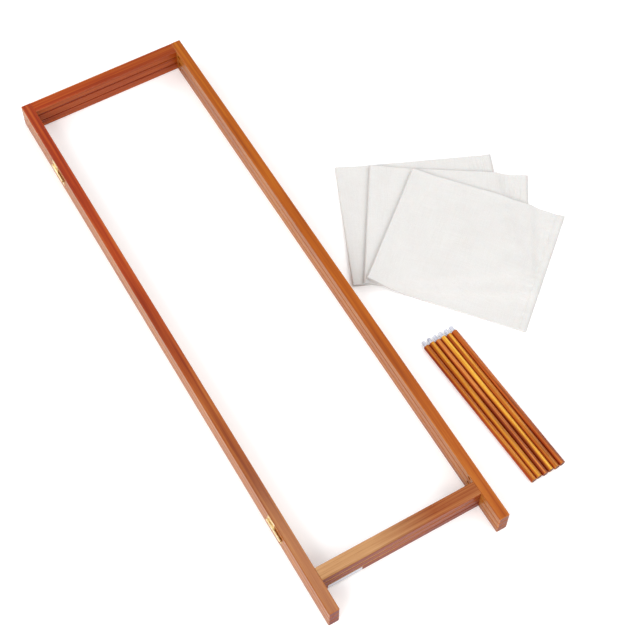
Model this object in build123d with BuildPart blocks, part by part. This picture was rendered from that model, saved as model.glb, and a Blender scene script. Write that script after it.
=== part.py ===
"""Three-panel folding screen, folded flat, with its six loose curtain rods and three folded cloths.

The screen lies on its back: X runs across it, Y from its feet to its head and Z up from the floor.
The origin is on the floor, in the middle of everything that lies there. All sizes are millimetres.
"""

from build123d import *
from math import cos, radians, sin
import os

# The panels: two upright stiles with a head rail and a foot rail dowelled between them
panel_width = 450
panel_height = 1544
stile_width = 26
stile_thickness = 22
head_rail_width = 32
foot_rail_width = 33
rail_thickness = 20
foot_length = 72
edge_radius = 2
end_chamfer = 1.5
panel_gap = 1

dowel_radius = 4
dowel_length = 30
dowel_spacing = 16
dowel_clearance = 0.02
dowel_hole_depth = 16

# Sockets for the rods: a wide one takes a rod's plain end, a narrow one its sprung tip
rod_level_above_foot = 119
rod_level_below_head = 47
rod_socket_radius = 7.8
rod_socket_depth = 14
tip_socket_radius = 5.2
tip_socket_depth = 16

# Lift-off hinges on the outer faces of the stiles
hinge_length = 60
hinge_above_foot = 230
hinge_below_head = 219
knuckle_radius = 3
knuckle_offset = 3.2
knuckle_gap = 0.3
leaf_thickness = 1.2
leaf_height = 20.5
leaf_corner_radius = 2
pin_radius = 1.5
pin_running_clearance = 0.05
pin_press_clearance = 0.01
pin_head_radius = 2.4
pin_head_height = 1.2
pin_end_recess = 0.8

screw_length = 12
screw_radius = 1.5
screw_head_radius = 2.5
screw_point_length = 2.5
screw_spacing = 16
screw_clearance = 0.02
screw_countersink_radius = 2.6
screw_leaf_hole_radius = 1.6
screw_slot_width = 0.6
screw_slot_depth = 0.4

# Curtain rods, each with a sprung tip in one end
rod_count = 6
rod_radius = 7.5
rod_length = 410
rod_pitch = 15.7
rod_turn = 3.4
rod_first_x = 562.5
rod_foot_y = 59
rod_steps = (0, 1.5, 0.5, 2, 1, 2.5)
rod_edge_chamfer = 0.6
rod_bore_radius = 5.8
rod_bore_depth = 52
bush_length = 8
bush_bore_radius = 4.86
tip_radius = 4.8
tip_stand_out = 15
tip_end_radius = 1.8
tip_collar_radius = 5.6
tip_collar_length = 4
tip_spigot_radius = 3.4
tip_spigot_length = 5
spring_radius = 4.4
spring_wire_radius = 0.5
spring_turns = 10
spring_end_gap = 0.6

# Folded cloths, fanned out on the floor with their lower left corners together
cloth_width = 398
cloth_depth = 352
cloth_thickness = 5
cloth_gap = 0.3
cloth_corner_radius = 6
cloth_edge_radius = 1.5
cloths = {
    "lower_cloth": (727, 782, -23.4),
    "middle_cloth": (762, 725, -33.4),
    "upper_cloth": (771, 652, -50),
}

# Blank paper label on the face of one foot rail
label_length = 85
label_height = 16
label_thickness = 0.2
label_from_left = 83

# Where the frame stands in the model's own frame
hinge_stand_out = knuckle_offset + knuckle_radius
upper_x, upper_y, upper_turn = cloths["upper_cloth"]
cloth_reach = (
    upper_x
    + (cloth_width / 2 - cloth_corner_radius) * cos(radians(upper_turn))
    - (cloth_depth / 2 - cloth_corner_radius) * sin(radians(upper_turn))
    + cloth_corner_radius
)
left_x = hinge_stand_out - (hinge_stand_out + cloth_reach) / 2
right_x = left_x + panel_width
foot_y = -panel_height / 2
head_y = panel_height / 2
inner_left_x = left_x + stile_width
inner_right_x = right_x - stile_width
panel_step = stile_thickness + panel_gap
panels = {"bottom_panel": 0, "middle_panel": 1, "top_panel": 2}
foot_rail_y = foot_y + foot_length + foot_rail_width / 2
head_rail_y = head_y - head_rail_width / 2
rod_levels = (foot_y + rod_level_above_foot, head_y - rod_level_below_head)
hinge_levels = {"foot": foot_y + hinge_above_foot, "head": head_y - hinge_below_head}
screw_height = panel_gap / 2 + stile_thickness / 2

os.makedirs("parts", exist_ok=True)
made = []


def keep(name, piece):
    """Labels a finished piece and writes it to its own file."""
    piece.label = name
    export_step(piece, f"parts/{name}.step")
    made.append(piece)


def panel_middle(panel):
    """Height of a panel's middle plane above the floor."""
    return panels[panel] * panel_step + stile_thickness / 2


def looking(side, x, y, z):
    """Plane on an upright face, with its normal along X: side is 1 for +X and -1 for -X."""
    return Plane(origin=(x, y, z), x_dir=(0, 1, 0), z_dir=(side, 0, 0))


def hinged_sides(panel):
    """Where a panel carries hinge leaves: {side: (height of the hinge line, 1 above or -1 below it)}."""
    low_line = stile_thickness + panel_gap / 2
    high_line = low_line + panel_step
    return {
        "bottom_panel": {1: (low_line, -1)},
        "middle_panel": {1: (low_line, 1), -1: (high_line, -1)},
        "top_panel": {-1: (high_line, 1)},
    }[panel]


def leaf_middle(line, rise):
    """Distance along Y from a hinge's middle to the middle of its upper or lower leaf."""
    return rise * (hinge_length / 4 + knuckle_gap / 4)


def screw_places(panel, side):
    """The (y, z) of each hinge screw in one side of a panel."""
    if side not in hinged_sides(panel):
        return []
    line, rise = hinged_sides(panel)[side]
    return [
        (level + leaf_middle(line, rise) + step * screw_spacing / 2, line + rise * screw_height)
        for level in hinge_levels.values()
        for step in (-1, 1)
    ]


# Stiles: full-height uprights, bored for dowels, rods and hinge screws
def make_stile(panel, side):
    middle_z = panel_middle(panel)
    outer_x = left_x if side < 0 else right_x
    inner_x = outer_x - side * stile_width
    foot_end = (outer_x - side * stile_width / 2, foot_y, middle_z)
    section = Plane(origin=foot_end, x_dir=(1, 0, 0), z_dir=(0, 1, 0))
    socket_radius = rod_socket_radius if side < 0 else tip_socket_radius
    socket_depth = rod_socket_depth if side < 0 else tip_socket_depth
    inner_face = looking(-side, inner_x, 0, middle_z)
    with BuildPart() as stile:
        with BuildSketch(section):
            RectangleRounded(stile_width, stile_thickness, edge_radius)
        extrude(amount=panel_height)
        ends = stile.faces().filter_by(Axis.Y)
        chamfer(ends.edges(), length=end_chamfer)
        with BuildSketch(inner_face):
            with Locations((foot_rail_y, 0), (head_rail_y, 0)):
                with GridLocations(dowel_spacing, 0, 2, 1):
                    Circle(dowel_radius + dowel_clearance)
        extrude(amount=-dowel_hole_depth, mode=Mode.SUBTRACT)
        with BuildSketch(inner_face):
            with Locations(*[(level, 0) for level in rod_levels]):
                Circle(socket_radius)
        extrude(amount=-socket_depth, mode=Mode.SUBTRACT)
        for y, z in screw_places(panel, side):
            with BuildSketch(looking(side, outer_x, y, z)):
                Circle(screw_radius + screw_clearance)
            extrude(amount=-screw_length, mode=Mode.SUBTRACT)
    return stile.part


# Rails: short crosspieces, a little thinner than the stiles, with dowel holes in their ends
def make_rail(panel, middle_y, width):
    middle_z = panel_middle(panel)
    length = inner_right_x - inner_left_x
    with BuildPart() as rail:
        with BuildSketch(looking(1, inner_left_x, middle_y, middle_z)):
            RectangleRounded(width, rail_thickness, edge_radius)
        extrude(amount=length)
        for side, end_x in ((-1, inner_left_x), (1, inner_right_x)):
            with BuildSketch(looking(side, end_x, middle_y, middle_z)):
                with GridLocations(dowel_spacing, 0, 2, 1):
                    Circle(dowel_radius + dowel_clearance)
            extrude(amount=-dowel_hole_depth, mode=Mode.SUBTRACT)
    return rail.part


# Dowels: two at each end of each rail, half in the stile and half in the rail
def make_dowels(panel):
    with BuildPart() as dowels:
        for joint_x in (inner_left_x, inner_right_x):
            start = looking(1, joint_x - dowel_length / 2, 0, panel_middle(panel))
            with BuildSketch(start):
                with Locations((foot_rail_y, 0), (head_rail_y, 0)):
                    with GridLocations(dowel_spacing, 0, 2, 1):
                        Circle(dowel_radius)
            extrude(amount=dowel_length)
        round_ends = dowels.faces().filter_by(Axis.X)
        chamfer(round_ends.edges(), length=1)
    return dowels.part


for panel in panels:
    keep(f"{panel}_left_stile", make_stile(panel, -1))
    keep(f"{panel}_right_stile", make_stile(panel, 1))
    keep(f"{panel}_foot_rail", make_rail(panel, foot_rail_y, foot_rail_width))
    keep(f"{panel}_head_rail", make_rail(panel, head_rail_y, head_rail_width))
    keep(f"{panel}_dowels", make_dowels(panel))


# Hinges: each panel's leaf lifts off the pin that stands in the leaf of the panel below it
def knuckle_plane(side, y, line):
    """Plane across a hinge line, with its X towards the wood and its normal towards the head."""
    axis_x = left_x - knuckle_offset if side < 0 else right_x + knuckle_offset
    return Plane(origin=(axis_x, y, line), x_dir=(-side, 0, 0), z_dir=(0, 1, 0))


def make_leaf(side, line, rise, level, bore_radius):
    leaf_length = (hinge_length - knuckle_gap) / 2
    start_y = level + (knuckle_gap / 2 if rise > 0 else -hinge_length / 2)
    outer_x = left_x if side < 0 else right_x
    with BuildPart() as leaf:
        with BuildSketch(knuckle_plane(side, start_y, line)):
            Circle(knuckle_radius)
            with Locations((knuckle_offset - leaf_thickness / 2, side * rise * leaf_height / 2)):
                Rectangle(leaf_thickness, leaf_height)
        extrude(amount=leaf_length)
        far_edge = leaf.faces().sort_by(Axis.Z)[-1 if rise > 0 else 0]
        fillet(far_edge.edges().filter_by(Axis.X), radius=leaf_corner_radius)
        with BuildSketch(knuckle_plane(side, start_y, line)):
            Circle(bore_radius)
        extrude(amount=leaf_length, mode=Mode.SUBTRACT)
        outside = outer_x + side * leaf_thickness
        middle_y = level + leaf_middle(line, rise)
        face = looking(side, outside, middle_y, line + rise * screw_height)
        with Locations(face):
            with GridLocations(screw_spacing, 0, 2, 1):
                CounterSinkHole(
                    radius=screw_leaf_hole_radius,
                    counter_sink_radius=screw_countersink_radius,
                    depth=2 * leaf_thickness,
                    counter_sink_angle=90,
                )
    return leaf.part


def make_pin(side, line, level):
    foot_end = level - hinge_length / 2
    with BuildPart() as pin:
        with BuildSketch(knuckle_plane(side, foot_end, line)):
            Circle(pin_radius)
        extrude(amount=hinge_length - pin_end_recess)
        with BuildSketch(knuckle_plane(side, foot_end - pin_head_height, line)):
            Circle(pin_head_radius)
        extrude(amount=pin_head_height)
        chamfer(pin.edges().filter_by(GeomType.CIRCLE).sort_by(Axis.Y)[0], length=0.5)
        chamfer(pin.edges().filter_by(GeomType.CIRCLE).sort_by(Axis.Y)[-1], length=0.5)
    return pin.part


def make_screws(panel):
    with BuildPart() as screws:
        for side in hinged_sides(panel):
            outside = (left_x if side < 0 else right_x) + side * leaf_thickness
            for y, z in screw_places(panel, side):
                half = Plane(origin=(outside, y, z), x_dir=(0, 1, 0), z_dir=(0, 0, -side))
                with BuildSketch(half):
                    with BuildLine():
                        Polyline(
                            (0, 0),
                            (screw_head_radius, 0),
                            (screw_radius, -(screw_head_radius - screw_radius)),
                            (screw_radius, screw_point_length - screw_length),
                            (0, -screw_length),
                            close=True,
                        )
                    make_face()
                axis = Axis(origin=(outside, y, z), direction=(side, 0, 0))
                revolve(axis=axis)
                with BuildSketch(looking(side, outside, y, z)):
                    Rectangle(2 * screw_head_radius, screw_slot_width, rotation=y)
                extrude(amount=-screw_slot_depth, mode=Mode.SUBTRACT)
    return screws.part


for place, side, panel_above, panel_below in (
    ("left", -1, "top_panel", "middle_panel"),
    ("right", 1, "middle_panel", "bottom_panel"),
):
    for end, level in hinge_levels.items():
        line, rise = hinged_sides(panel_above)[side]
        socket_bore = pin_radius + pin_running_clearance
        pin_bore = pin_radius + pin_press_clearance
        keep(f"{place}_{end}_hinge_socket_leaf", make_leaf(side, line, 1, level, socket_bore))
        keep(f"{place}_{end}_hinge_pin_leaf", make_leaf(side, line, -1, level, pin_bore))
        keep(f"{place}_{end}_hinge_pin", make_pin(side, line, level))

for panel in panels:
    keep(f"{panel}_hinge_screws", make_screws(panel))


# Rods: side by side on the floor, sprung tips towards the head
rod_along = (-sin(radians(rod_turn)), cos(radians(rod_turn)), 0)
rod_across = (cos(radians(rod_turn)), sin(radians(rod_turn)), 0)


def rod_plane(number, distance):
    """Plane square to a rod, at a distance from its plain end."""
    first = left_x + rod_first_x + number * rod_pitch * rod_across[0]
    start = foot_y + rod_foot_y + rod_steps[number]
    place = (first + distance * rod_along[0], start + distance * rod_along[1], rod_radius)
    return Plane(origin=place, x_dir=rod_across, z_dir=rod_along)


def make_rod(number):
    with BuildPart() as rod:
        with BuildSketch(rod_plane(number, 0)):
            Circle(rod_radius)
        extrude(amount=rod_length)
        chamfer(rod.edges().filter_by(GeomType.CIRCLE), length=rod_edge_chamfer)
        with BuildSketch(rod_plane(number, rod_length)):
            Circle(rod_bore_radius)
        extrude(amount=-rod_bore_depth, mode=Mode.SUBTRACT)
    return rod.part


def make_bush(number):
    with BuildPart() as bush:
        with BuildSketch(rod_plane(number, rod_length - bush_length)):
            Circle(rod_bore_radius - dowel_clearance)
            Circle(bush_bore_radius, mode=Mode.SUBTRACT)
        extrude(amount=bush_length)
    return bush.part


def make_tip(number):
    collar_start = rod_length - bush_length - tip_collar_length
    with BuildPart() as tip:
        with BuildSketch(rod_plane(number, collar_start)):
            Circle(tip_radius)
        extrude(amount=tip_collar_length + bush_length + tip_stand_out)
        fillet(tip.edges().filter_by(GeomType.CIRCLE).sort_by(Axis.Y)[-1], radius=tip_end_radius)
        with BuildSketch(rod_plane(number, collar_start)):
            Circle(tip_collar_radius)
        extrude(amount=tip_collar_length)
        with BuildSketch(rod_plane(number, collar_start)):
            Circle(tip_spigot_radius)
        extrude(amount=-tip_spigot_length)
    return tip.part


def make_spring(number):
    bore_end = rod_length - rod_bore_depth
    collar_start = rod_length - bush_length - tip_collar_length
    spring_length = collar_start - bore_end - 2 * spring_end_gap
    with BuildPart() as spring:
        with BuildLine() as coil:
            Helix(
                pitch=spring_length / spring_turns,
                height=spring_length,
                radius=spring_radius,
                center=rod_plane(number, bore_end + spring_end_gap).origin,
                direction=rod_along,
            )
        with BuildSketch(Plane(origin=coil.line @ 0, z_dir=coil.line % 0)):
            Circle(spring_wire_radius)
        sweep(path=coil.line, is_frenet=True)
    return spring.part


for number in range(rod_count):
    name = f"rod_{number + 1}"
    keep(name, make_rod(number))
    keep(f"{name}_bush", make_bush(number))
    keep(f"{name}_tip", make_tip(number))
    keep(f"{name}_spring", make_spring(number))


# Cloths: each lies on the one below it
def make_cloth(order, x, y, turn):
    underside = order * (cloth_thickness + cloth_gap)
    place = (left_x + x, foot_y + y, underside)
    across = (cos(radians(turn)), sin(radians(turn)), 0)
    with BuildPart() as cloth:
        with BuildSketch(Plane(origin=place, x_dir=across, z_dir=(0, 0, 1))):
            RectangleRounded(cloth_width, cloth_depth, cloth_corner_radius)
        extrude(amount=cloth_thickness)
        rims = cloth.faces().filter_by(Axis.Z).edges()
        fillet(rims, radius=cloth_edge_radius)
    return cloth.part


for order, (name, place) in enumerate(cloths.items()):
    keep(name, make_cloth(order, *place))


# Label: a blank paper strip on the bottom panel's foot rail
label_face = Plane(
    origin=(left_x + label_from_left, foot_y + foot_length, panel_middle("bottom_panel")),
    x_dir=(1, 0, 0),
    z_dir=(0, -1, 0),
)
with BuildPart() as blank_label:
    with BuildSketch(label_face):
        RectangleRounded(label_length, label_height, 1)
    extrude(amount=label_thickness)
keep("blank_label", blank_label.part)

box = Compound(children=made).bounding_box()
print(len(made), "pieces, from", box.min, "to", box.max)
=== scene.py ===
# %% [markdown]
# # A folding screen lying on the floor, with its curtain rods and cloths
# The object is a three panel folding screen, folded flat. Beside it lie six curtain rods with
# sprung tips, and three cotton cloths folded into a pile. The wooden and metal parts come from
# the CAD model, which is loaded first and never moved. This lesson paints them, and makes the
# soft parts, which a CAD solid can only stand in for.

# %% Load the frame
import math
import bpy
import numpy as np
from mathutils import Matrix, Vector, noise
from mathutils.bvhtree import BVHTree


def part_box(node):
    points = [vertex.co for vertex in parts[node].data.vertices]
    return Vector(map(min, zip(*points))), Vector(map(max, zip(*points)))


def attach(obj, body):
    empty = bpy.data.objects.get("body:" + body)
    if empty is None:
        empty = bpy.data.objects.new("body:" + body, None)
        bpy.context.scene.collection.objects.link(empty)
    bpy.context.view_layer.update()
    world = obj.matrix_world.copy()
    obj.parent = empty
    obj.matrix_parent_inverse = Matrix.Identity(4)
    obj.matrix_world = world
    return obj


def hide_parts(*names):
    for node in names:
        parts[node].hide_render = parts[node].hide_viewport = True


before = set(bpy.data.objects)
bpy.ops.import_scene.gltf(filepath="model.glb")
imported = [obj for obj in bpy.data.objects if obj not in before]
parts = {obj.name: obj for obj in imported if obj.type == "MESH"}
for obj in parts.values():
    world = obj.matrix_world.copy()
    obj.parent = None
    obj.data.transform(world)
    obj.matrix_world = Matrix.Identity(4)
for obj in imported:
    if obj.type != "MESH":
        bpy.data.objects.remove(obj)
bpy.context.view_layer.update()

# %% [markdown]
# ## Where things are
# Positions could be typed in one by one, but then a change of the model would leave them
# behind. Here they start from the box of a CAD part, so a piece fits without any trial. The
# outer face of the left posts and the feet are the two edges that the maker measured from.

# %% Measure the frame
panel_low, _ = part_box("bottom_panel_left_stile")
left_x = panel_low.x
foot_y = panel_low.y
print("left edge", round(left_x, 4), " feet", round(foot_y, 4))

# %% [markdown]
# ## The camera
# The picture looks down on the floor from above the feet, a little turned, through a long
# lens from 3.5 m away. A camera can be aimed with a constraint, but here its three axes are
# worked out and written into its matrix, because the slight roll is then under control too.

# %% Camera
def aim_camera(target, distance, heading, depression, roll, lens):
    """Looks at the target from a distance, heading clockwise from +Y, and down by the depression."""
    forward = Vector((
        math.sin(heading) * math.cos(depression),
        math.cos(heading) * math.cos(depression),
        -math.sin(depression),
    ))
    right = Vector((math.cos(heading), -math.sin(heading), 0))
    up = right.cross(forward)
    turned_right = right * math.cos(roll) + up * math.sin(roll)
    turned_up = up * math.cos(roll) - right * math.sin(roll)
    data = bpy.data.cameras.new("camera")
    data.lens = lens
    data.sensor_width = 36
    data.clip_end = 100
    camera = bpy.data.objects.new("camera", data)
    bpy.context.scene.collection.objects.link(camera)
    place = target - forward * distance
    for row in range(3):
        for column, axis in enumerate((turned_right, turned_up, -forward, place)):
            camera.matrix_world[row][column] = axis[row]
    bpy.context.scene.camera = camera
    return camera


camera = aim_camera(
    target=Vector((-0.1513, -0.1132, 0)),
    distance=3.493,
    heading=math.radians(30.94),
    depression=math.radians(59.07),
    roll=math.radians(0.95),
    lens=83,
)
print("camera at", tuple(round(v, 3) for v in camera.matrix_world.translation))

# %% [markdown]
# ## Floor and light
# The set is a plain white sweep that glows a little, as a sheet lit from below does. The room
# gives an even light, and four large soft boxes stand round the object, the strongest on the
# left. A smaller one overhead puts a soft gloss on the varnish near the left feet. Big lights
# on every side keep the shadows faint.

# %% Floor
def new_object(name, points, faces, smooth=False):
    """Makes a mesh object from points and faces, and links it to the scene."""
    mesh = bpy.data.meshes.new(name)
    mesh.from_pydata([tuple(p) for p in points], [], [tuple(f) for f in faces])
    mesh.update()
    if smooth:
        mesh.shade_smooth()
    made = bpy.data.objects.new(name, mesh)
    bpy.context.scene.collection.objects.link(made)
    return made


floor_half = 12
floor_level = -0.0004
floor_corners = [
    (-floor_half, -floor_half, floor_level), (floor_half, -floor_half, floor_level),
    (floor_half, floor_half, floor_level), (-floor_half, floor_half, floor_level)]
floor = new_object("floor", floor_corners, [(0, 1, 2, 3)])

# %% Light
def soft_box(name, place, target, size, power):
    """A square white area light at a place, facing a target."""
    data = bpy.data.lights.new(name, "AREA")
    data.size = size
    data.energy = power
    light = bpy.data.objects.new(name, data)
    bpy.context.scene.collection.objects.link(light)
    light.location = place
    light.rotation_euler = (Vector(target) - Vector(place)).to_track_quat("-Z", "Y").to_euler()
    return light


middle_of_floor = (0, 0, 0)
big_box = 4.0
small_box = 1.0
soft_box("left_soft_box", (-4.4, -1.8, 3.4), middle_of_floor, big_box, 244)
soft_box("right_soft_box", (4.6, 0.4, 3.8), middle_of_floor, big_box, 144)
soft_box("front_soft_box", (0.8, -5.0, 3.6), middle_of_floor, big_box, 152)
soft_box("back_soft_box", (-2.6, 4.6, 3.4), middle_of_floor, big_box, 100)
soft_box("overhead_soft_box", (0.12, 0.45, 3.5), (0.12, 0.45, 0), small_box, 9)
room = bpy.data.worlds.new("room")
room.use_nodes = True
room.node_tree.nodes["Background"].inputs["Color"].default_value = (1, 1, 1, 1)
room.node_tree.nodes["Background"].inputs["Strength"].default_value = 0.42
bpy.context.scene.world = room
bpy.context.scene.view_settings.view_transform = "Standard"
bpy.context.scene.view_settings.look = "None"

# %% [markdown]
# ## Tools for finishes
# A finish is a small net of shader nodes. Three helpers keep the nets readable: one adds a
# node and sets or links its inputs, one turns a number into a colour, and one starts a
# material. Colours are written as a paint card gives them, and turned into linear light.

# %% Node helpers
def paint(red, green, blue):
    """A display colour from 0 to 255, as the linear colour that shaders use."""
    linear = []
    for part in (red, green, blue):
        value = part / 255
        linear.append(value / 12.92 if value <= 0.04045 else ((value + 0.055) / 1.055) ** 2.4)
    return (*linear, 1)


def add_node(material, kind, inputs=None, **settings):
    """Adds a shader node. An input is a plain value, or another node's socket to link."""
    made = material.node_tree.nodes.new("ShaderNode" + kind)
    for name, value in settings.items():
        setattr(made, name, value)
    for name, value in (inputs or {}).items():
        if isinstance(value, bpy.types.NodeSocket):
            material.node_tree.links.new(value, made.inputs[name])
        else:
            made.inputs[name].default_value = value
    return made


def new_finish(name):
    """A material with one Principled shader, and that shader."""
    material = bpy.data.materials.new(name)
    material.use_nodes = True
    material.node_tree.nodes.clear()
    shader = add_node(material, "BsdfPrincipled")
    out = add_node(material, "OutputMaterial")
    material.node_tree.links.new(shader.outputs["BSDF"], out.inputs["Surface"])
    return material, shader


def link(material, socket, shader, name):
    material.node_tree.links.new(socket, shader.inputs[name])


def ramp(material, value, *stops):
    """Turns a number into a colour between the stops, each a (place, colour)."""
    made = add_node(material, "ValToRGB", {"Fac": value})
    band = made.color_ramp
    band.elements[0].position = stops[0][0]
    band.elements[0].color = stops[0][1]
    band.elements[1].position = stops[-1][0]
    band.elements[1].color = stops[-1][1]
    for place, colour in stops[1:-1]:
        band.elements.new(place).color = colour
    return made.outputs["Color"]


def level(material, value, low_in, high_in, low, high):
    """Stretches a number from one range onto another, and stops at its ends."""
    made = add_node(material, "MapRange", {
        "Value": value, "From Min": low_in, "From Max": high_in, "To Min": low, "To Max": high})
    return made.outputs["Result"]


def sum_of(material, *pairs):
    """Adds numbers, each times its share."""
    total = None
    for value, share in pairs:
        scaled = add_node(material, "Math", {0: value, 1: share}, operation="MULTIPLY").outputs[0]
        if total is None:
            total = scaled
        else:
            total = add_node(material, "Math", {0: total, 1: scaled}, operation="ADD").outputs[0]
    return total


def blend_colours(material, share, first, second_stain_or_sheen, mode="MIX"):
    """Mixes two colours by a share that varies over the surface."""
    made = add_node(material, "Mix", {0: share, 6: first, 7: second_stain_or_sheen},
                    data_type="RGBA", blend_type=mode)
    return made.outputs[2]


def grain_space(material, turn=0.0, origin=(0, 0, 0), feature=(1, 1, 1)):
    """Object coordinates, turned about Z and divided by the size of a feature in metres."""
    place = add_node(material, "TexCoord").outputs["Object"]
    made = add_node(material, "Mapping", {
        "Vector": place, "Location": origin, "Rotation": (0, 0, turn), "Scale": feature},
        vector_type="TEXTURE")
    return made.outputs["Vector"]


def cloud(material, space, detail=3.0, rough=0.5, warp=0.0):
    """Noise in a given space, about 0.3 to 0.7."""
    made = add_node(material, "TexNoise", {
        "Vector": space, "Scale": 1.0, "Detail": detail, "Roughness": rough, "Distortion": warp})
    return made.outputs["Fac"]


white_floor, floor_shader = new_finish("white_sweep")
dust = cloud(white_floor, grain_space(white_floor, feature=(0.4, 0.4, 0.4)))
link(white_floor, ramp(white_floor, dust, (0.3, (0.94, 0.94, 0.94, 1)),
                       (0.7, (0.96, 0.96, 0.96, 1))), floor_shader, "Base Color")
floor_shader.inputs["Roughness"].default_value = 0.9
floor_shader.inputs["Emission Color"].default_value = (1, 1, 1, 1)
floor_shader.inputs["Emission Strength"].default_value = 0.14
floor.data.materials.append(white_floor)
print("finish:", white_floor.name)

# %% [markdown]
# ## Stained and varnished wood
# The posts and rails are straight softwood with a reddish brown stain under satin varnish.
# A picture of wood could be wrapped round each one, but a solid pattern is better: it is
# worked out from the place inside the timber, so the grain runs true on every face and shows
# its rings on the cut ends. Growth rings, long streaks, patches where the stain soaked in
# unevenly, short pores and edges made lighter in patches each get their own noise. Cut ends
# drink in the stain and the varnish, so they are darker and duller, and the varnish on the
# sides was wiped thinner too. Some colour here is painted light: on the left posts and the
# foot rail, a lighter colour near the left feet is a painted sheen, and the sides of the
# posts are lighter with a painted reflection.

# %% Wood finish
def edge_mask(material, radius, start, end):
    """Is 1 on sharp edges and 0 on flat faces, by comparing a rounded normal with the real one."""
    rounded = add_node(material, "Bevel", {"Radius": radius}, samples=4).outputs["Normal"]
    true = add_node(material, "NewGeometry").outputs["Normal"]
    same = add_node(material, "VectorMath", {0: rounded, 1: true},
                    operation="DOT_PRODUCT").outputs["Value"]
    return level(material, same, start, end, 0.0, 1.0)


def end_mask(material, turn, along):
    """Is 1 where the face is cut across the grain."""
    facing = add_node(material, "TexCoord").outputs["Normal"]
    if along == "x":
        axis = (math.cos(turn), math.sin(turn), 0)
    else:
        axis = (-math.sin(turn), math.cos(turn), 0)
    dot = add_node(material, "VectorMath", {0: facing, 1: axis},
                   operation="DOT_PRODUCT").outputs["Value"]
    size = add_node(material, "Math", {0: dot}, operation="ABSOLUTE").outputs[0]
    return level(material, size, 0.75, 0.9, 0.0, 1.0)


edge_lightening_radius = 0.0022


def grain_size(along, long, across):
    """The size of a grain feature, long in the direction of the grain."""
    return (long, across, across) if along == "x" else (across, long, across)


def wood(name, stain, along="y", turn=0.0, pith=(0, 0, 0), edge_lightening=0.5, gloss=0.34, spread=0.16,
         varnish=0.5, second_stain_or_sheen=None, fade=(0, 1), sides=None, flank=(0.6, 0.95)):
    """Varnished wood with its grain along x or y, turned about Z. A second colour may take over
    along the piece, from one place to another on the axis of the grain: a real change of stain
    on the right posts and the head rail, and a painted sheen near the left feet on the left
    posts and the foot rail. The sides may have a colour of their own, which starts and is full
    where the surface turns so far aside: a painted reflection on the posts, a painted shade on
    the rod flanks, and on the foot rail the brown that keeps its painted sheen off the front face."""
    material, shader = new_finish(name)
    cut = end_mask(material, turn, along)
    thin = cut

    def space(long, across, origin=(0, 0, 0)):
        return grain_space(material, turn, origin, grain_size(along, long, across))

    streaks = cloud(material, space(0.42, 0.0060), detail=4, rough=0.55)
    fibres = cloud(material, space(0.05, 0.0009), detail=3, rough=0.6)
    patches = cloud(material, space(0.35, 0.05), detail=2)
    rings = add_node(material, "TexWave", {
        "Vector": space(0.9, 0.0075, pith), "Scale": 0.5, "Distortion": 2.2, "Detail": 2.0,
        "Detail Scale": 0.7, "Detail Roughness": 0.5},
        wave_type="RINGS", rings_direction="X" if along == "x" else "Y",
        wave_profile="SAW").outputs["Fac"]
    tone = sum_of(material, (streaks, 0.62), (patches, 0.36), (rings, 0.07), (fibres, 0.10))
    usual_tone = 0.575

    def stained_with(colours):
        """The dark, middle and light colour of a stain, over the tone of the wood."""
        return ramp(material, tone, (usual_tone - spread, colours[0]), (usual_tone, colours[1]),
                    (usual_tone + spread, colours[2]))

    dark, _, light = stain
    coloured = stained_with(stain)
    # On the left posts and the foot rail this second colour is a painted sheen, lighter near the
    # left feet.
    if second_stain_or_sheen:
        place = add_node(material, "SeparateXYZ", {
            "Vector": add_node(material, "TexCoord").outputs["Object"]})
        share = level(material, place.outputs["X" if along == "x" else "Y"], *fade, 0.0, 1.0)
        wander = sum_of(material, (share, 1.0), (patches, 0.5), (streaks, 0.4))
        takeover = level(material, wander, 0.35, 1.15, 0.0, 1.0)
        coloured = blend_colours(material, takeover, coloured, stained_with(second_stain_or_sheen))
    # The sides' own colour is painted light and shade: a painted reflection on the posts, a painted
    # shade on the rod flanks, and on the foot rail the brown that keeps its painted sheen off the
    # front face.
    if sides:
        facing = add_node(material, "SeparateXYZ", {
            "Vector": add_node(material, "TexCoord").outputs["Normal"]})
        sideways = facing.outputs["Y" if along == "x" else "X"]
        aside = add_node(material, "Math", {0: sideways}, operation="ABSOLUTE").outputs[0]
        share = level(material, aside, *flank, 0.0, 1.0)
        coloured = blend_colours(material, share, coloured, stained_with(sides))
        thin = add_node(material, "Math", {0: cut, 1: share}, operation="MAXIMUM").outputs[0]
    pores = level(material, fibres, 0.30, 0.42, 1.0, 0.0)
    soft_pores = add_node(material, "Math", {0: pores, 1: 0.35}, operation="MULTIPLY").outputs[0]
    stained = blend_colours(material, soft_pores, coloured, dark)
    soaked = (*(0.5 * part for part in dark[:3]), 1)
    end_rings = ramp(material, rings, (0.1, dark), (0.9, soaked))
    with_ends = blend_colours(material, cut, stained, end_rings)
    # Sharp edges are coloured lighter, in patches.
    sharp_edges = edge_mask(material, edge_lightening_radius, 0.995, 0.90)
    edge_patches = level(material, cloud(material, space(0.06, 0.012), detail=4), 0.42, 0.62, 0.0, edge_lightening)
    lighter_edges = add_node(material, "Math", {0: sharp_edges, 1: edge_patches}, operation="MULTIPLY").outputs[0]
    colour = blend_colours(material, lighter_edges, with_ends, light)
    link(material, colour, shader, "Base Color")
    sheen = sum_of(material, (cloud(material, space(0.12, 0.02), detail=3), 0.22), (cut, 0.25),
                   (fibres, 0.12))
    link(material, level(material, sheen, 0.0, 0.6, gloss - 0.10, gloss + 0.22), shader,
         "Roughness")
    height = sum_of(material, (fibres, 0.7), (streaks, 0.5), (rings, 0.12))
    bump = add_node(material, "Bump", {
        "Height": height, "Strength": 0.22, "Distance": 0.0004})
    link(material, bump.outputs["Normal"], shader, "Normal")
    shader.inputs["Specular IOR Level"].default_value = 0.12
    link(material, level(material, thin, 0.0, 1.0, varnish, 0.3 * varnish), shader, "Coat Weight")
    shader.inputs["Coat Roughness"].default_value = 0.16
    return material


def dress(node, material):
    """Gives a CAD part one finish all over."""
    mesh = parts[node].data
    mesh.materials.clear()
    mesh.materials.append(material)


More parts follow.
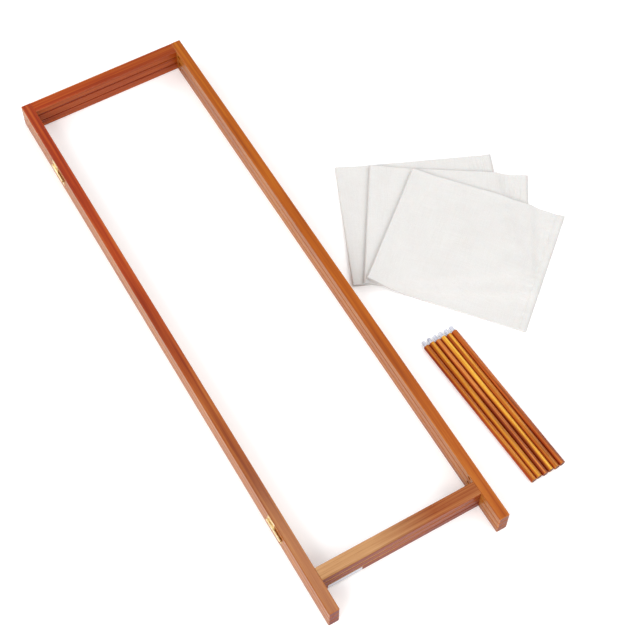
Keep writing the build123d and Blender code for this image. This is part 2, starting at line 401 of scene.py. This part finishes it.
red_stain = (paint(122, 32, 8), paint(158, 51, 12), paint(178, 76, 22))
rust_stain = (paint(116, 40, 10), paint(148, 62, 14), paint(170, 90, 26))
orange_stain = (paint(136, 60, 8), paint(166, 85, 12), paint(184, 112, 24))
# A painted sheen: the tan that takes over near the feet of the left posts.
painted_sheen_tan = (paint(118, 60, 22), paint(148, 86, 36), paint(170, 112, 54))
brown_stain = (paint(96, 30, 4), paint(124, 46, 5), paint(150, 72, 16))
# A painted sheen: the sandy colour at the left end of the foot rail.
painted_sheen_sandy = (paint(148, 104, 60), paint(172, 125, 80), paint(188, 144, 98))
amber_stain = (paint(126, 54, 12), paint(156, 76, 18), paint(178, 104, 34))
posts = {
    "left_stile": (red_stain, painted_sheen_tan, (0.25, -0.80)),
    "right_stile": (orange_stain, amber_stain, (0.10, -1.30)),
}
# A painted reflection: the sides of the posts are coloured lighter than their tops.
painted_side_reflection = (paint(128, 66, 22), paint(156, 88, 30), paint(174, 112, 46))
# The foot rail's front and back faces keep the brown stain, so its painted sheen stays on the top.
rails = {
    "head_rail": (red_stain, rust_stain, (-0.60, 0.10), 0.5, rust_stain),
    "foot_rail": (brown_stain, painted_sheen_sandy, (-0.20, -0.42), 0.2, brown_stain),
}
for layer, panel in enumerate(("bottom_panel", "middle_panel", "top_panel")):
    for place, (first, second_stain_or_sheen, fade) in posts.items():
        node = panel + "_" + place
        low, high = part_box(node)
        heart = ((low.x + high.x) / 2 + 0.012 - 0.007 * layer, 0, low.z - 0.016)
        dress(node, wood("wood_" + node, first, along="y", pith=heart, edge_lightening=0.6,
                         second_stain_or_sheen=second_stain_or_sheen, fade=fade, sides=painted_side_reflection))
    for place, (first, second_stain_or_sheen, fade, varnish, sides) in rails.items():
        node = panel + "_" + place
        low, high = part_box(node)
        heart = (0, (low.y + high.y) / 2 - 0.010 + 0.006 * layer, low.z - 0.020)
        dress(node, wood("wood_" + node, first, along="x", pith=heart, edge_lightening=0.5,
                         varnish=varnish, second_stain_or_sheen=second_stain_or_sheen, fade=fade, sides=sides))
print("posts and rails finished:", 3 * (len(posts) + len(rails)))

# %% [markdown]
# ## The curtain rods
# The six rods came from different lengths of dowel, so each took the stain differently, from
# golden to reddish brown. Their flanks are coloured darker than their tops: a painted shade.
# They use the same wood with their own colours, and the grain is turned to follow them,
# because they lie a few degrees off the posts.

# %% Rods
rod_turn = math.radians(3.4)
rod_stains = (
    (paint(120, 50, 10), paint(168, 92, 20), paint(198, 130, 40)),
    (paint(116, 50, 10), paint(186, 118, 24), paint(220, 164, 50)),
    (paint(118, 48, 12), paint(178, 98, 34), paint(208, 134, 60)),
    (paint(126, 58, 10), paint(196, 128, 28), paint(226, 176, 60)),
    (paint(116, 50, 10), paint(180, 108, 24), paint(212, 152, 46)),
    (paint(104, 42, 10), paint(166, 84, 22), paint(196, 120, 44)),
)
# A painted shade: the flanks of the rods are coloured darker than their tops.
painted_flank_shade = (paint(110, 30, 6), paint(144, 46, 14), paint(166, 66, 24))
for number, stain in enumerate(rod_stains, start=1):
    node = f"rod_{number}"
    low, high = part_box(node)
    heart = ((low.x + high.x) / 2, (low.y + high.y) / 2, 0.0075 - 0.004 * (number % 3))
    dress(node, wood("wood_" + node, stain, along="y", turn=rod_turn, pith=heart,
                     edge_lightening=0.25, spread=0.10, varnish=0.25, sides=painted_flank_shade,
                     flank=(0.30, 0.92)))
print("rods finished:", len(rod_stains))

# %% [markdown]
# ## Bare dowels
# The dowels inside the corner joints never saw stain. They are pale beech with short dark
# flecks, so they get a plainer wood of their own.

# %% Dowels
def bare_wood(name):
    material, shader = new_finish(name)
    grain = cloud(material, grain_space(material, feature=(0.03, 0.0012, 0.0012)), detail=4)
    fleck = cloud(material, grain_space(material, feature=(0.003, 0.0004, 0.0004)), detail=2)
    tone = sum_of(material, (grain, 0.7), (fleck, 0.3))
    link(material, ramp(material, tone, (0.38, paint(176, 130, 84)), (0.5, paint(212, 172, 120)),
                        (0.64, paint(228, 194, 146))), shader, "Base Color")
    link(material, level(material, fleck, 0.3, 0.7, 0.55, 0.75), shader, "Roughness")
    bump = add_node(material, "Bump", {"Height": grain, "Strength": 0.3, "Distance": 0.0003})
    link(material, bump.outputs["Normal"], shader, "Normal")
    return material


beech = bare_wood("bare_beech")
for node in parts:
    if node.endswith("_dowels"):
        dress(node, beech)
print("dowels finished")

# %% [markdown]
# ## Brass, steel, plastic and paper
# The hinges are rolled from brass strip, which keeps fine lines from rolling and dulls to a
# brown in places. The screws are turned brass with rings from the lathe, the springs are
# drawn wire, the tips and bushes are white nylon, and the blank label is matt paper. Each
# is one short recipe, with the marks of how it was made in its roughness and bump.

# %% Metal finish
def metal(name, dull, bright, lines, roughness=(0.2, 0.42), depth=0.00005):
    """Metal with lines of a given feature size, dull patches, and bright edges polished by handling.
    """
    material, shader = new_finish(name)
    marks = cloud(material, grain_space(material, feature=lines), detail=4, rough=0.6)
    patches = cloud(material, grain_space(material, feature=(0.012, 0.012, 0.012)), detail=4)
    tone = sum_of(material, (patches, 0.7), (marks, 0.3))
    body = ramp(material, tone, (0.36, dull), (0.56, bright))
    sharp_edges = edge_mask(material, 0.0005, 0.99, 0.85)
    link(material, blend_colours(material, sharp_edges, body, bright), shader, "Base Color")
    link(material, level(material, tone, 0.35, 0.65, roughness[1], roughness[0]), shader,
         "Roughness")
    bump = add_node(material, "Bump", {"Height": marks, "Strength": 0.35, "Distance": depth})
    link(material, bump.outputs["Normal"], shader, "Normal")
    shader.inputs["Metallic"].default_value = 1.0
    return material


rolled_brass = metal("rolled_brass", paint(208, 178, 122), paint(250, 232, 190),
                     (0.0004, 0.02, 0.0004), roughness=(0.30, 0.50))
turned_brass = metal("turned_brass", paint(160, 118, 58), paint(214, 176, 104),
                     (0.002, 0.002, 0.0003))
spring_wire = metal("spring_wire", paint(140, 142, 148), paint(196, 198, 204),
                    (0.0006, 0.0006, 0.0006), depth=0.00002)

# %% Plastic and paper finish
def moulded(name, shade, light):
    """White nylon: very slightly uneven in colour, with a fine moulded surface."""
    material, shader = new_finish(name)
    wash = cloud(material, grain_space(material, feature=(0.006, 0.006, 0.006)), detail=3)
    speck = cloud(material, grain_space(material, feature=(0.0005, 0.0005, 0.0005)), detail=2)
    link(material, ramp(material, wash, (0.35, shade), (0.6, light)), shader, "Base Color")
    link(material, level(material, speck, 0.3, 0.7, 0.28, 0.42), shader, "Roughness")
    bump = add_node(material, "Bump", {"Height": speck, "Strength": 0.2, "Distance": 0.00005})
    link(material, bump.outputs["Normal"], shader, "Normal")
    shader.inputs["Subsurface Weight"].default_value = 0.12
    shader.inputs["Subsurface Radius"].default_value = (0.002, 0.002, 0.002)
    return material


def blank_paper(name):
    """Matt paper with fibres in every direction."""
    material, shader = new_finish(name)
    fibres = cloud(material, grain_space(material, feature=(0.0012, 0.0003, 0.0004)), detail=4,
                   warp=1.5)
    link(material, ramp(material, fibres, (0.35, paint(188, 190, 198)),
                        (0.6, paint(206, 208, 214))), shader, "Base Color")
    link(material, level(material, fibres, 0.3, 0.7, 0.7, 0.9), shader, "Roughness")
    bump = add_node(material, "Bump", {"Height": fibres, "Strength": 0.3, "Distance": 0.00004})
    link(material, bump.outputs["Normal"], shader, "Normal")
    return material


white_nylon = moulded("white_nylon", paint(164, 168, 184), paint(204, 206, 214))
label_paper = blank_paper("label_paper")
finish_by_ending = (
    ("_leaf", rolled_brass), ("_pin", turned_brass), ("_hinge_screws", turned_brass),
    ("_spring", spring_wire), ("_bush", white_nylon), ("_tip", white_nylon),
    ("blank_label", label_paper),
)
for node in parts:
    for ending, finish in finish_by_ending:
        if node.endswith(ending):
            dress(node, finish)
print("small parts finished")

# %% [markdown]
# ## The cloth as it was cut
# Each panel's curtain is one piece of cotton, twice as wide as the opening so that it gathers
# on its rods, and as long as the rods are apart plus the pockets. It was folded in half
# lengthwise twice and then once across, so eight layers lie on each other. A block with
# painted lines would look like a book. A cloth simulation of eight touching layers is slow
# and never settles neatly. So the sheet is laid by arithmetic: every point of the flat cloth
# is carried round the folds it goes through, and its length along the cloth is kept.

# %% Folding along the length
cloth_width = 0.796
folded_width = 0.398
folded_depth = 0.352
pitch = 0.00062
thread = 0.00036


def strip_path():
    """The side view of the cloth folded lengthwise into four layers, as points (y, height)."""
    outer = 1.5 * pitch
    inner = 0.5 * pitch
    front = outer
    back = folded_depth - inner

    def turn(y, height, radius, first, last):
        """Points round a fold, from a first to a last angle in degrees."""
        angles = np.radians(np.linspace(first, last, 9))
        return [(y + radius * math.cos(a), height + radius * math.sin(a)) for a in angles]

    path = [(back, 3.5 * pitch)]
    path += turn(front, 2 * pitch, outer, 90, 270)
    path += turn(back, 1 * pitch, inner, -90, 90)
    path += turn(front, 2 * pitch, inner, 270, 90)
    path += [(back, 2.5 * pitch)]
    return np.array(path)


def sample_path(path, distances):
    """Points at given distances along a path, of which the last is the path's end."""
    steps = np.hypot(*np.diff(path, axis=0).T)
    run = np.concatenate([[0], np.cumsum(steps)])
    share = np.asarray(distances) / distances[-1] * run[-1]
    return np.stack([np.interp(share, run, path[:, i]) for i in range(2)], axis=1)


def spaced(total, coarse, spots):
    """Distances from 0 to total: coarse steps, but fine ones round each (place, reach, step)."""
    values = [0.0]
    for place, reach, fine in spots:
        for end, step in ((place - reach, coarse), (place + reach, fine)):
            count = max(1, round((end - values[-1]) / step))
            values += list(np.linspace(values[-1], end, count + 1)[1:])
    count = max(1, round((total - values[-1]) / coarse))
    values += list(np.linspace(values[-1], total, count + 1)[1:])
    return np.array(values)


side_view = strip_path()
strip_run = float(np.hypot(*np.diff(side_view, axis=0).T).sum())
print("length of cloth in the four layers:", round(strip_run, 4))

# %% [markdown]
# ## The last fold, hems and puckers
# The strip of four layers is then folded across its middle. Thick cloth will not fold flat:
# the layers inside the bend leave a small hollow, like the eye of a needle, so the left edge
# of each cloth is a soft roll. The side hems add two more thicknesses, so the right edge
# stands a little higher, and the thread that holds them draws the cloth into small puckers.

# %% Folding across
hem = 0.020
hollow = 0.0022
roll_reach = 0.060
half_stack = 4 * pitch


def smooth(value):
    """Goes gently from 0 to 1 as the value does."""
    value = np.clip(value, 0, 1)
    return value * value * (3 - 2 * value)


def waves(x, y, size, seed):
    """Smooth noise, about -1 to 1, over flat places given in metres."""
    flat = np.array([noise.noise((a / size, b / size, seed))
                     for a, b in zip(np.ravel(x), np.ravel(y))])
    return 2 * flat.reshape(np.shape(x))


def fold_across(u, height):
    """Carries points at u from the first side edge and at a height in the strip round the fold."""
    bend_x = half_stack + hollow
    straight = folded_width - bend_x
    radius = bend_x - height
    arc = math.pi * radius
    angle = np.clip((u - straight) / arc, 0, 1) * math.pi
    x_before = folded_width - u
    x_after = bend_x + (u - straight - arc) * straight / (cloth_width - straight - arc)
    x_turn = bend_x - radius * np.sin(angle)
    x = np.where(u < straight, x_before, np.where(u > straight + arc, x_after, x_turn))
    z_turn = bend_x - radius * np.cos(angle)
    close = hollow * smooth((x - bend_x) / roll_reach)
    z_after = 2 * bend_x - height - 2 * close
    z = np.where(u < straight, height, np.where(u > straight + arc, z_after, z_turn))
    return x, z


def crumple(x, y, z, seed, ripple):
    """Heights after hems, puckers and slight waves. Heights only stretch, so layers never cross.
    The ripple is how strongly the cloth bunched up beside its right hem."""
    top = 2 * half_stack
    in_hem = smooth((x - (folded_width - hem - 0.003)) / 0.005)
    front = np.exp(-y / 0.010)
    back = np.exp(-(folded_depth - y) / 0.010)
    soft = 0.16 * (front + back) + 0.34 * in_hem
    sway = 0.10 * waves(x, y, 0.075, seed) + 0.05 * waves(x, y, 0.028, seed + 9)
    seam = np.exp(-((x - (folded_width - hem)) / 0.013) ** 2)
    gather = np.sin(y / 0.0036 + 3.0 * waves(x, y, 0.05, seed + 4))
    slant = waves(x * 0.6 + y * 0.5, y * 0.6 - x * 0.5, 0.022, seed + 2)
    pull = smooth((x - 0.29) / 0.10)
    groove = np.exp(-((x - (folded_width - hem)) / 0.0012) ** 2)
    ribs = np.sin(2 * math.pi * (x + 0.004 * waves(x, y, 0.05, seed + 6)) / 0.0095)
    beside = smooth((x - (folded_width - 0.070)) / 0.020) * (1 - in_hem)
    bunched = ripple * beside * (ribs + 0.6 * slant)
    share = (z / top) ** 1.5
    drawn = 0.0009 * seam * gather + 0.0010 * pull * slant - 0.0005 * groove
    return z * (1 + soft + sway) + share * (drawn + 0.0006 * bunched)


print("the left edge stands", round((2 * (half_stack + hollow)) * 1000, 1), "mm high")

# %% [markdown]
# ## Laying one cloth on another
# The pile is fanned out, so each cloth lies partly on the one below and partly on the floor.
# Rays are dropped on what is already there to read its height on a grid, and the grid is
# smoothed without ever going below what it measured. That is how a slightly stiff cloth lies
# over an edge: it bridges the step and comes down a little way past it.

# %% Resting surface
grid_step = 0.005
grid_origin = (left_x + 0.44, foot_y + 0.34)
grid_count = (126, 142)
ray_height = 0.2
smoothing_rounds = 26
clear_of_below = 0.00025


def height_below(pile):
    """Heights of what is in the pile, on the grid, grown and smoothed."""
    heights = np.zeros(grid_count)
    graph = bpy.context.evaluated_depsgraph_get()
    for piece in pile:
        tree = BVHTree.FromObject(piece, graph)
        for i in range(grid_count[0]):
            for j in range(grid_count[1]):
                start = (grid_origin[0] + i * grid_step, grid_origin[1] + j * grid_step,
                         ray_height)
                hit = tree.ray_cast(start, (0, 0, -1))[0]
                if hit is not None:
                    heights[i, j] = max(heights[i, j], hit.z)
    grown = heights.copy()
    for i_shift in (-1, 0, 1):
        for j_shift in (-1, 0, 1):
            grown = np.maximum(grown, np.roll(heights, (i_shift, j_shift), (0, 1)))
    rest = grown.copy()
    for _ in range(smoothing_rounds):
        around = sum(np.roll(rest, s, a) for s in (-1, 1) for a in (0, 1)) / 4
        rest = np.maximum(grown, 0.5 * rest + 0.5 * around)
    return rest


def read_grid(grid, x, y):
    """The grid's height at any place, between its points."""
    a = np.clip((x - grid_origin[0]) / grid_step, 0, grid_count[0] - 1.001)
    b = np.clip((y - grid_origin[1]) / grid_step, 0, grid_count[1] - 1.001)
    i = a.astype(int)
    j = b.astype(int)
    a = a - i
    b = b - j
    return ((1 - a) * (1 - b) * grid[i, j] + a * (1 - b) * grid[i + 1, j]
            + (1 - a) * b * grid[i, j + 1] + a * b * grid[i + 1, j + 1])


# %% [markdown]
# ## From a surface to real cloth
# The folded surface has no thickness yet. Half a thread is added on each side along its own
# normal, and a rim closes the edges, so the layers can be seen one by one from the side. The
# hems are thicker, because there the cloth is turned over on itself.

# %% Cloth mesh
def grid_normals(points):
    """The unit normal at each point of a grid of points."""
    along = np.gradient(points, axis=0)
    across = np.gradient(points, axis=1)
    normal = np.cross(along, across)
    return normal / np.maximum(np.linalg.norm(normal, axis=2, keepdims=True), 1e-12)


def grid_faces(rows, columns, start, flip):
    """Four-sided faces between the points of a grid."""
    index = np.arange(rows * columns).reshape(rows, columns) + start
    quads = np.stack([index[:-1, :-1], index[1:, :-1], index[1:, 1:], index[:-1, 1:]], axis=2)
    quads = quads.reshape(-1, 4)
    return quads[:, ::-1] if flip else quads


def rim_faces(rows, columns):
    """Faces that join the edges of the upper and the lower grid."""
    index = np.arange(rows * columns).reshape(rows, columns)
    loop = np.concatenate([index[:-1, 0], index[-1, :-1], index[:0:-1, -1], index[0, :0:-1]])
    following = np.roll(loop, -1)
    below = rows * columns
    return np.stack([loop, following, following + below, loop + below], axis=1)


def solid_sheet(name, points, half):
    """A closed mesh of cloth, half a thickness each side of a grid of points."""
    rows, columns = points.shape[:2]
    normal = grid_normals(points)
    upper = (points + normal * half[..., None]).reshape(-1, 3)
    lower = (points - normal * half[..., None]).reshape(-1, 3)
    faces = np.concatenate([
        grid_faces(rows, columns, 0, False),
        grid_faces(rows, columns, rows * columns, True),
        rim_faces(rows, columns)[:, ::-1],
    ])
    mesh = bpy.data.meshes.new(name)
    vertices = np.concatenate([upper, lower])
    mesh.vertices.add(len(vertices))
    mesh.vertices.foreach_set("co", vertices.ravel().astype(np.float32))
    mesh.loops.add(faces.size)
    mesh.loops.foreach_set("vertex_index", faces.ravel().astype(np.int32))
    mesh.polygons.add(len(faces))
    mesh.polygons.foreach_set("loop_start", np.arange(0, faces.size, 4, dtype=np.int32))
    mesh.update(calc_edges=True)
    mesh.validate()
    mesh.shade_smooth()
    made = bpy.data.objects.new(name, mesh)
    bpy.context.scene.collection.objects.link(made)
    return made


# %% Lay a cloth
hem_extra = 0.55
u_steps = spaced(cloth_width, 0.0075, [
    (hem, 0.0018, 0.0006),
    (cloth_width / 2 + 0.0005, 0.0095, 0.0007),
    (cloth_width - 0.047, 0.023, 0.0019),
    (cloth_width - hem, 0.0018, 0.0006),
])
s_steps = spaced(strip_run, 0.0056, [
    (strip_run * quarter / 4, 0.0024, 0.0003) for quarter in (1, 2, 3)])


def lay_cloth(name, centre, turn, below, seed, ripple):
    """Folds a cloth, turns it, sets it on what is below, and gives it thickness."""
    side = sample_path(side_view, s_steps)
    u, y = np.meshgrid(u_steps, side[:, 0], indexing="ij")
    height = np.broadcast_to(side[:, 1], u.shape)
    x, z = fold_across(u, height)
    z = crumple(x, y, z, seed, ripple)
    flat_x = x - folded_width / 2
    flat_y = y - folded_depth / 2
    world_x = centre[0] + flat_x * math.cos(turn) - flat_y * math.sin(turn)
    world_y = centre[1] + flat_x * math.sin(turn) + flat_y * math.cos(turn)
    base = read_grid(below, world_x, world_y) + clear_of_below
    surface = np.stack([world_x, world_y, base + z], axis=2)
    edge = np.minimum(u, cloth_width - u)
    half = thread / 2 * (1 + hem_extra * (1 - smooth((edge - hem) / 0.0015)))
    return solid_sheet(name, surface, half), surface


fan = (
    ("lower_cloth", (0.727, 0.782), -23.4, 1.3, 1.0),
    ("middle_cloth", (0.762, 0.725), -33.4, 5.1, 0.7),
    ("upper_cloth", (0.771, 0.652), -50.0, 8.7, 0.2),
)
cloths = {}
surfaces = {}
for node, (from_left, from_foot), degrees, seed, ripple in fan:
    below = height_below(list(cloths.values()))
    place = (left_x + from_left, foot_y + from_foot)
    name = node.replace("_cloth", "_folded_cloth")
    cloths[node], surfaces[node] = lay_cloth(
        name, place, math.radians(degrees), below, seed, ripple)
    top = max(v.co.z for v in cloths[node].data.vertices)
    print(name, len(cloths[node].data.vertices), "points, top at", round(top * 1000, 1), "mm")

# %% [markdown]
# ## Stitches along the hems
# The side hems are held by a straight machine seam, 20 mm in from the edge. A painted line
# would vanish in the weave. Each stitch is a small bead of thread that dips into the cloth at
# both ends, so the seam catches the light as thread does.

# %% Hem stitches
stitch_step = 0.0030
stitch_length = 0.0023
stitch_radius = 0.00028
stitch_rise = 0.78


def bead(start, end, normal, radius, rings=5, sides=6):
    """Points and faces of one stitch: a thin bead that is high in its middle."""
    along = (end - start).normalized()
    across = normal.cross(along).normalized()
    points = []
    for ring in range(rings):
        share = ring / (rings - 1)
        swell = math.sin(math.pi * (0.12 + 0.76 * share))
        middle = start.lerp(end, share) + normal * radius * (swell - 0.55)
        for side in range(sides):
            angle = 2 * math.pi * side / sides
            points.append(middle + (across * math.cos(angle) + normal * math.sin(angle))
                          * radius * (0.35 + 0.65 * swell))
    faces = []
    for ring in range(rings - 1):
        for side in range(sides):
            a = ring * sides + side
            b = ring * sides + (side + 1) % sides
            faces.append((a, b, b + sides, a + sides))
    faces.append(tuple(range(sides))[::-1])
    last = (rings - 1) * sides
    faces.append(tuple(range(last, last + sides)))
    return points, faces


def seam(name, surface, u_at, first, last):
    """Stitches along one line of the cloth, from a first to a last distance along it."""
    normals = grid_normals(surface)
    row = int(np.argmin(np.abs(u_steps - u_at)))
    line = surface[row]
    up = normals[row]
    points = []
    faces = []
    distance = first
    while distance + stitch_length < last:
        ends = []
        for place in (distance, distance + stitch_length):
            ends.append(Vector([np.interp(place, s_steps, line[:, i]) for i in range(3)]))
        lift = Vector([np.interp(distance, s_steps, up[:, i]) for i in range(3)]).normalized()
        if lift.z < 0:
            lift = -lift
        skin = lift * thread * stitch_rise
        made, quads = bead(ends[0] + skin, ends[1] + skin, lift, stitch_radius)
        faces += [tuple(len(points) + i for i in quad) for quad in quads]
        points += made
        distance += stitch_step
    return new_object(name, points, faces, smooth=True)


seams = {}
quarter_run = strip_run / 4
for node in cloths:
    seams[node] = seam(node.replace("_cloth", "_hem_stitches"), surfaces[node],
                       cloth_width - hem, quarter_run + 0.004, 2 * quarter_run - 0.004)
    print(seams[node].name, len(seams[node].data.polygons), "faces")

# %% [markdown]
# ## Cotton
# The cloth is plain woven cotton, not quite white. A weave is threads that go over and under
# each other, so two sets of fine waves cross, and a checker says which thread is on top. Real
# yarn is uneven: long faint slubs run both ways, and the colour drifts a little from place to
# place. The weave is turned with each cloth, so the threads run along its edges.

# %% Cotton finish
def cotton(name, turn, shade, light, yarn=0.0009):
    """Plain weave, turned about Z to follow the cloth."""
    material, shader = new_finish(name)
    square = grain_space(material, turn, feature=(yarn, yarn, yarn))
    bands = []
    for direction in ("X", "Y"):
        bands.append(add_node(material, "TexWave", {
            "Vector": square, "Scale": 0.314, "Distortion": 0.5, "Detail": 1.0},
            wave_type="BANDS", bands_direction=direction, wave_profile="SIN").outputs["Fac"])
    over = add_node(material, "TexChecker", {"Vector": square, "Scale": 1.0}).outputs["Fac"]
    weave = add_node(material, "Mix", {0: over, 2: bands[0], 3: bands[1]}).outputs[0]
    slub_x = cloud(material, grain_space(material, turn, feature=(0.05, 0.0011, 0.0011)), detail=2)
    slub_y = cloud(material, grain_space(material, turn, feature=(0.0011, 0.05, 0.0011)), detail=2)
    drift = cloud(material, grain_space(material, turn, feature=(0.09, 0.09, 0.09)), detail=3)
    tone = sum_of(material, (slub_x, 0.28), (slub_y, 0.28), (drift, 0.18), (weave, 0.26))
    link(material, ramp(material, tone, (0.36, shade), (0.60, light)), shader, "Base Color")
    link(material, level(material, weave, 0.0, 1.0, 0.92, 0.78), shader, "Roughness")
    height = sum_of(material, (weave, 0.6), (slub_x, 0.5), (slub_y, 0.5))
    bump = add_node(material, "Bump", {"Height": height, "Strength": 0.35, "Distance": 0.00025})
    link(material, bump.outputs["Normal"], shader, "Normal")
    shader.inputs["Subsurface Weight"].default_value = 0.15
    shader.inputs["Subsurface Radius"].default_value = (0.006, 0.003, 0.002)
    shader.inputs["Sheen Weight"].default_value = 0.15
    shader.inputs["Sheen Roughness"].default_value = 0.6
    shader.inputs["Specular IOR Level"].default_value = 0.2
    return material


def sewing_thread(name):
    """Twisted white thread."""
    material, shader = new_finish(name)
    twist = cloud(material, grain_space(material, feature=(0.0004, 0.0004, 0.0004)), detail=2)
    link(material, ramp(material, twist, (0.35, paint(206, 202, 192)),
                        (0.62, paint(240, 238, 230))), shader, "Base Color")
    link(material, level(material, twist, 0.3, 0.7, 0.55, 0.75), shader, "Roughness")
    bump = add_node(material, "Bump", {"Height": twist, "Strength": 0.4, "Distance": 0.0001})
    link(material, bump.outputs["Normal"], shader, "Normal")
    return material


white_thread = sewing_thread("white_thread")
for node, _, degrees, _, _ in fan:
    weave_finish = cotton("cotton_" + node, math.radians(degrees), paint(200, 197, 194),
                          paint(214, 213, 211))
    cloths[node].data.materials.append(weave_finish)
    seams[node].data.materials.append(white_thread)
print("cotton finished")

# %% [markdown]
# ## Which body each piece rides on
# Each cloth and its stitches ride on the body of the CAD slab that they stand for, so they
# lift off the pile together. The slab stays in the motion model and is hidden here.

# %% Ride on the slabs
for node in cloths:
    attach(cloths[node], node)
    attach(seams[node], node)
    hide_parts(node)
print("cloths declared:", len(cloths))
